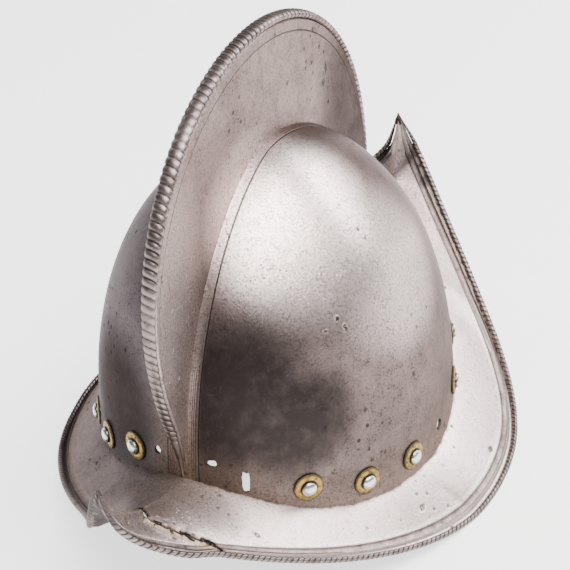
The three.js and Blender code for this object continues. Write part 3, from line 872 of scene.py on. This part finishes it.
# Painted shade in the recess beside the rear point's crease and on the front brim beside the crack, with a
# dark spot at damage on the rear point.
BRIM_PAINTED_SHADE_PATCHES = (
    *FRONT_TIP_PAINTED_SHADE,
    ((10, 168, 84), (9, 8, 20), 0.6),
    ((17, 165, 74), (4, 5, 5), 0.8),
    ((24, -141, 58), (22, 9, 12), 0.35),
    ((20, -112, 54), (26, 12, 10), 0.35),
)
SCARS = (
    ((60, -43, 131), (1.3, 1.5, 2.6), 1.0),
    ((62, -41, 125), (1.9, 1.5, 2.2), 1.0),
    ((57, -50, 127), (2.6, 1.4, 1.0), 0.7),
    ((52, -56, 137), (1.0, 1.4, 1.4), 0.7),
    ((71, -38, 106), (2.2, 3.0, 1.8), 0.5),
    ((3, 74, 194), (3, 1.5, 3.5), 0.9),
    ((3, 70, 187), (3, 2.2, 2.0), 0.8),
    ((3, 30, 209), (3, 2.0, 1.2), 0.6),
    ((74, -54, 40), (1.6, 1.6, 1.6), 0.7),
    ((97, -34, 16), (1.5, 2.4, 2.2), 0.9),
    ((108, 8, 8), (1.5, 2.0, 2.2), 0.9),
    ((109, 30, 8), (1.4, 2.6, 2.2), 0.9),
    ((43, -109, 43), (3.0, 1.2, 2.0), 0.8)
)


def patches(x, y, z, places):
    """How strongly a point lies in any of a set of soft patches, 0 to 1."""
    total = 0.0
    for middle, reach, strength in places:
        away = 0.0
        for value, centre, size in zip((x, y, z), middle, reach):
            off = (value - centre * MM) / (size * MM)
            away = off * off + away
        total = (away.step(1.7, 0.15) * strength).at_least(total)
    return total


def pitted(shader, vector, clouds):
    """Pits of two sizes: a dark spot, thick where clouds is high. Returns the spots' depth, 0 to 1."""
    small = shader.cells(vector, 420.0).step(0.3, 0.12) * shader.noise(vector, 60.0, 2.0).step(0.47, 0.6)
    large = shader.cells(vector, 150.0).step(0.23, 0.08) * shader.noise(vector, 24.0, 2.0).step(0.5, 0.62)
    return (small * clouds * 0.8 + large * 0.9).held()


def old_steel():
    shader = Shader("old_polished_steel")
    vector, x, y, z = shader.place()
    inside = shader.mark("inside")
    edge_in, root_up = shader.mark("edge_in"), shader.mark("root_up")
    comb_line, skull_line = shader.mark("comb_line"), shader.mark("skull_line")

    clouds = shader.noise(vector, 22.0, 5.0, 0.6)
    mottle = shader.noise(vector, 130.0, 4.0, 0.65)
    fine = shader.noise(vector, 900.0, 3.0, 0.7)
    upright = shader.noise(shader.stretched(vector, (1.0, 1.0, 0.07)), 420.0, 3.0, 0.6)
    sweep = shader.noise(shader.stretched(vector, (0.08, 1.0, 1.0)), 300.0, 3.0, 0.6)
    pits = pitted(shader, vector, clouds.step(0.35, 0.7))
    scratches = (upright.step(0.62, 0.72) * 0.6 + sweep.step(0.66, 0.74) * 0.5).held()

    # Engraved lines: one below the roping on the comb, one beside the comb on the skull, and a few
    # finer ones between them low down at the front.
    broken = shader.noise(vector, 14.0, 1.0).step(0.3, 0.45)
    engraved = comb_line.size().step(0.5, 0.12) * broken
    engraved = engraved.at_least(skull_line.size().step(0.5, 0.14))
    low_front = z.step(0.125, 0.1) * y.step(-0.06, -0.08)
    for offset in (1.6, 2.6, 3.5):
        engraved = engraved.at_least((skull_line + offset).size().step(0.32, 0.1) * low_front * 0.7)

    # Tarnish: in the corner where the skull turns out, round the comb's foot, and in the border's groove.
    corner = root_up.step(9.0, 0.5) * root_up.step(-2.5, 0.5) * (0.35 + mottle * 0.8)
    rivet_band = root_up.step(2.0, 8.0) * root_up.step(34.0, 18.0) * clouds.step(0.3, 0.7)
    foot = (y + 0.098).size().step(0.04, 0.008) * (z - 0.07).size().step(0.035, 0.008)
    foot = foot * x.size().step(0.06, 0.01)
    grooved = edge_in.step(4.4, 3.4) * 0.6
    bloom = (corner * 0.55 + rivet_band * 0.35 + foot * 0.45).held()
    dull = (clouds.step(0.42, 0.72) * 0.55 + mottle.step(0.5, 0.75) * 0.4).held()
    band = edge_in.step(5.5, 6.2) * edge_in.step(8.9, 8.4)

    brim = (root_up + (mottle - 0.5) * 5).step(0.8, -1.2)
    skull = x.size().step(0.0045, 0.01)
    crack = shader.mark("crack")
    on_left, on_right = x.step(0.012, 0.05), x.step(0.0, -0.03)
    # Painted highlight: the brim's right side, the upper skull and the comb's front are lightened where
    # they reflect the lamps.
    painted_brim_highlight = brim * x.step(-0.03, 0.045) * y.step(0.16, 0.07).at_least(0.35)
    painted_highlight = patches(x, y, z, PAINTED_HIGHLIGHT_PATCHES).at_least(painted_brim_highlight)
    painted_highlight = painted_highlight.at_least(patches(x, y, z, COMB_PAINTED_HIGHLIGHT_PATCHES) * (1 - skull))
    # Painted shade: dark patches where the skull, comb and brim face away from the lamps or lie in hollows.
    dark = patches(x, y, z, PAINTED_SHADE_PATCHES) * (1 - brim) * skull
    dark = dark.at_least(patches(x, y, z, COMB_PAINTED_SHADE_PATCHES) * (1 - brim) * (1 - skull))
    dark = dark.at_least(patches(x, y, z, BRIM_PAINTED_SHADE_PATCHES) * brim)
    painted_tip_shade = patches(x, y, z, FRONT_TIP_PAINTED_SHADE)
    scars = patches(x, y, z, SCARS) * fine.step(0.38, 0.5)
    uneven = (mottle - 0.5) * 0.9 + (clouds - 0.5) * 0.5
    speckle = shader.noise(vector, 650.0, 4.0, 0.8)
    colour = shader.blend(dull, BRIGHT_STEEL, WORN_STEEL)
    # The painted highlight is blended in as a warm near-white.
    colour = shader.blend((painted_highlight + painted_highlight * uneven).held(), colour, PAINTED_HIGHLIGHT_STEEL)
    colour = shader.blend((band * (0.5 + mottle * 0.7)).held(), colour, WORN_STEEL)
    colour = shader.blend(band * on_right * 0.5, colour, TAN_STEEL)
    colour = shader.blend(bloom, colour, BROWN_BLOOM)
    # Painted shade: the helmet's right side, away from the key light, is made dimmer and bluer, less on the
    # brim.
    colour = shader.blend(on_right * (0.75 - brim * 0.45), colour, PAINTED_SHADE_BLUE_STEEL)
    # The painted shade is blended in towards near-black.
    colour = shader.blend((dark * (1 + uneven * 0.4)).held() * 0.95, colour, DARK_STEEL)
    grained = shader.blend(0.75, colour, BLACK_SCALE)
    grain = (speckle.step(0.5, 0.62) * 0.7).at_least(fine.step(0.5, 0.62) * mottle.step(0.35, 0.6))
    colour = shader.blend(grain * (0.9 - brim * on_left * 0.5), colour, grained)
    colour = shader.blend(scratches * 0.55, colour, DULL_STEEL)
    colour = shader.blend((pits * 0.85).at_least(scars), colour, BLACK_SCALE)
    lip = crack.step(-2.2, -1.2) * crack.step(-0.3, -0.7) * fine.step(0.3, 0.6)
    colour = shader.blend(crack.size().step(3.0, 1.2) * 0.75, colour, BROWN_BLOOM)
    colour = shader.blend(lip * 0.75, colour, YELLOW_RUST)
    # Painted shade: a dark line along the crack's gap, for the shade under the torn strip.
    colour = shader.blend(crack.step(1.5, 0.8) * crack.step(-0.6, -0.2), colour, DARK_STEEL)
    colour = shader.blend((engraved * 0.85).at_least(grooved), colour, BLACK_SCALE)
    # Painted shade: the inside sheet and the strip along the brim's edge are painted dark, less metallic
    # and rougher, for the hollow's shade.
    within = shader.blend(mottle.step(0.3, 0.7), DARK_STEEL, DULL_STEEL)
    colour = shader.blend(inside, colour, within)

    rough = 0.28 + clouds * 0.12 + mottle * 0.1 + bloom * 0.25 + pits * 0.5 + inside * 0.3 + dark * 0.1
    height = mottle * 0.25 - scars * 0.6 + fine * 0.2 - pits * 0.45 - engraved * 1.1 - scratches * 0.12
    return shader.finish(
        Base_Color=colour,
        # The painted shade at the front point also takes the metal out of it.
        Metallic=(1 - pits * 0.4 - bloom * 0.25 - inside * 0.5 - painted_tip_shade * 0.6).held(),
        Roughness=rough.held(),
        Specular_Tint=STEEL_EDGE_TINT,
        Normal=shader.bump(height, 0.7, 0.0008),
    )


def roped_steel():
    shader = Shader("roped_steel")
    vector, x, y, z = shader.place()
    cut = shader.mark("cut")
    mottle = shader.noise(vector, 160.0, 4.0, 0.6)
    fine = shader.noise(vector, 1100.0, 3.0, 0.7)
    colour = shader.blend(mottle.step(0.4, 0.7) * 0.6, ROPED_STEEL, DULL_STEEL)
    # Painted shade on the roping at the front point, in the hollow under it; it also takes the metal out
    # there.
    painted_rope_tip_shade = patches(x, y, z, FRONT_TIP_PAINTED_SHADE)
    colour = shader.blend(painted_rope_tip_shade * 0.85, colour, DARK_STEEL)
    colour = shader.blend(cut.step(0.15, 0.6) * 0.97, colour, DARK_STEEL)
    colour = shader.blend(fine.step(0.55, 0.75) * 0.35, colour, DULL_STEEL)
    return shader.finish(
        Base_Color=colour,
        Metallic=(1 - cut * 0.4 - painted_rope_tip_shade * 0.6).held(),
        Roughness=(0.28 + mottle * 0.18 + cut * 0.3).held(),
        Specular_Tint=STEEL_EDGE_TINT,
        Normal=shader.bump(mottle * 0.3 + fine * 0.15, 0.4, 0.0005),
    )


def old_brass():
    shader = Shader("worn_brass")
    vector = shader.place()[0]
    radius = shader.mark("radius")
    mottle = shader.noise(vector, 380.0, 4.0, 0.6)
    spots = shader.cells(vector, 520.0).step(0.42, 0.2) * shader.noise(vector, 190.0, 1.0).step(0.4, 0.56)
    rim = radius.step(6.6, 7.4).at_least(radius.step(4.9, 4.3))
    colour = shader.blend(mottle.step(0.35, 0.7), WORN_BRASS, DULL_BRASS)
    colour = shader.blend((rim * 0.85).at_least(spots * 0.9), colour, BRASS_DIRT)
    return shader.finish(
        Base_Color=colour,
        Metallic=(1 - rim * 0.4 - spots * 0.5).held(),
        Roughness=(0.34 + mottle * 0.2 + rim * 0.2).held(),
        Normal=shader.bump(mottle * 0.4 - spots, 0.5, 0.0004),
    )


def rivet_steel():
    shader = Shader("bright_rivet_steel")
    vector = shader.place()[0]
    radius = shader.mark("radius")
    mottle = shader.noise(vector, 420.0, 4.0, 0.6)
    colour = shader.blend(mottle.step(0.45, 0.75) * 0.6, RIVET_STEEL, WORN_STEEL)
    colour = shader.blend(radius.step(3.5, 3.95) * 0.8, colour, BLACK_SCALE)
    return shader.finish(
        Base_Color=colour,
        Metallic=1.0,
        Roughness=(0.22 + mottle * 0.2).held(),
        Normal=shader.bump(mottle, 0.3, 0.0003),
    )


# ---- the helmet ----


def give(piece, material, slot, *nodes):
    piece.data.materials.clear()
    piece.data.materials.append(material)
    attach(piece, "root")
    if nodes:
        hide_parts(*nodes)


steel, rope, brass, bright = old_steel(), roped_steel(), old_brass(), rivet_steel()
give(make_shell(), steel, "helmet_steel", "helmet_shell")
give(make_edge_rope(), rope, "helmet_steel")
give(make_comb_rope(), rope, "helmet_steel")
for key, washer, head in make_rivets():
    give(washer, brass, "washer_brass", f"washer_{key}")
    give(head, bright, "rivet_steel", f"rivet_{key}")

# ---- stage, light and camera ----


def make_floor():
    mesh = bpy.data.meshes.new("floor")
    half = 6.0
    corners = [(-half, -half, 0), (half, -half, 0), (half, half, 0), (-half, half, 0)]
    mesh.from_pydata(corners, [], [(0, 1, 2, 3)])
    floor = bpy.data.objects.new("floor", mesh)
    bpy.context.scene.collection.objects.link(floor)
    shader = Shader("pale_floor")
    shader.finish(
        Base_Color=(0.92, 0.92, 0.92, 1),
        Roughness=0.9,
        Emission_Color=(1, 1, 1, 1),
        Emission_Strength=1.7,
    )
    floor.data.materials.append(shader.material)


def make_light(name, place, target, size, power, colour=(1, 1, 1)):
    lamp = bpy.data.lights.new(name, "AREA")
    lamp.shape, lamp.size, lamp.size_y = "RECTANGLE", *size
    lamp.energy, lamp.color = power, colour
    made = bpy.data.objects.new(name, lamp)
    made.location = place
    made.rotation_euler = (Vector(target) - Vector(place)).to_track_quat("-Z", "Y").to_euler()
    bpy.context.scene.collection.objects.link(made)


def make_world():
    world = bpy.data.worlds.new("studio")
    world.use_nodes = True
    world.node_tree.nodes["Background"].inputs["Color"].default_value = (0.9, 0.92, 0.95, 1)
    world.node_tree.nodes["Background"].inputs["Strength"].default_value = 0.16
    bpy.context.scene.world = world


AZIMUTH, ELEVATION, TURN = math.radians(27.84), math.radians(35.46), math.radians(-4.08)
DISTANCE, LENS = 1.1, 136.9
TARGET = Vector((0.00801, 0.00425, 0.1056))


def make_camera():
    back = Vector((
        math.sin(AZIMUTH) * math.cos(ELEVATION),
        -math.cos(AZIMUTH) * math.cos(ELEVATION),
        math.sin(ELEVATION),
    ))
    level = Vector((math.cos(AZIMUTH), math.sin(AZIMUTH), 0))
    raised = back.cross(level)
    right = level * math.cos(TURN) + raised * math.sin(TURN)
    up = raised * math.cos(TURN) - level * math.sin(TURN)
    camera = bpy.data.objects.new("camera", bpy.data.cameras.new("camera"))
    camera.data.lens, camera.data.sensor_width = LENS, 36
    turn = Matrix((right, up, back)).transposed().to_4x4()
    camera.matrix_world = Matrix.Translation(TARGET + back * DISTANCE) @ turn
    bpy.context.scene.collection.objects.link(camera)
    bpy.context.scene.camera = camera


make_floor()
make_world()
make_light("key", (0.45, -0.28, 1.25), (0, 0, 0.1), (1.3, 0.9), 42, (1.0, 0.965, 0.945))
make_light("back_right", (0.6, 0.95, 0.75), (0, 0, 0.08), (0.9, 0.7), 20)
make_light("left_rim", (-1.0, 0.3, 0.6), (0, 0, 0.1), (0.4, 0.9), 3, (0.85, 0.92, 1.0))
make_camera()
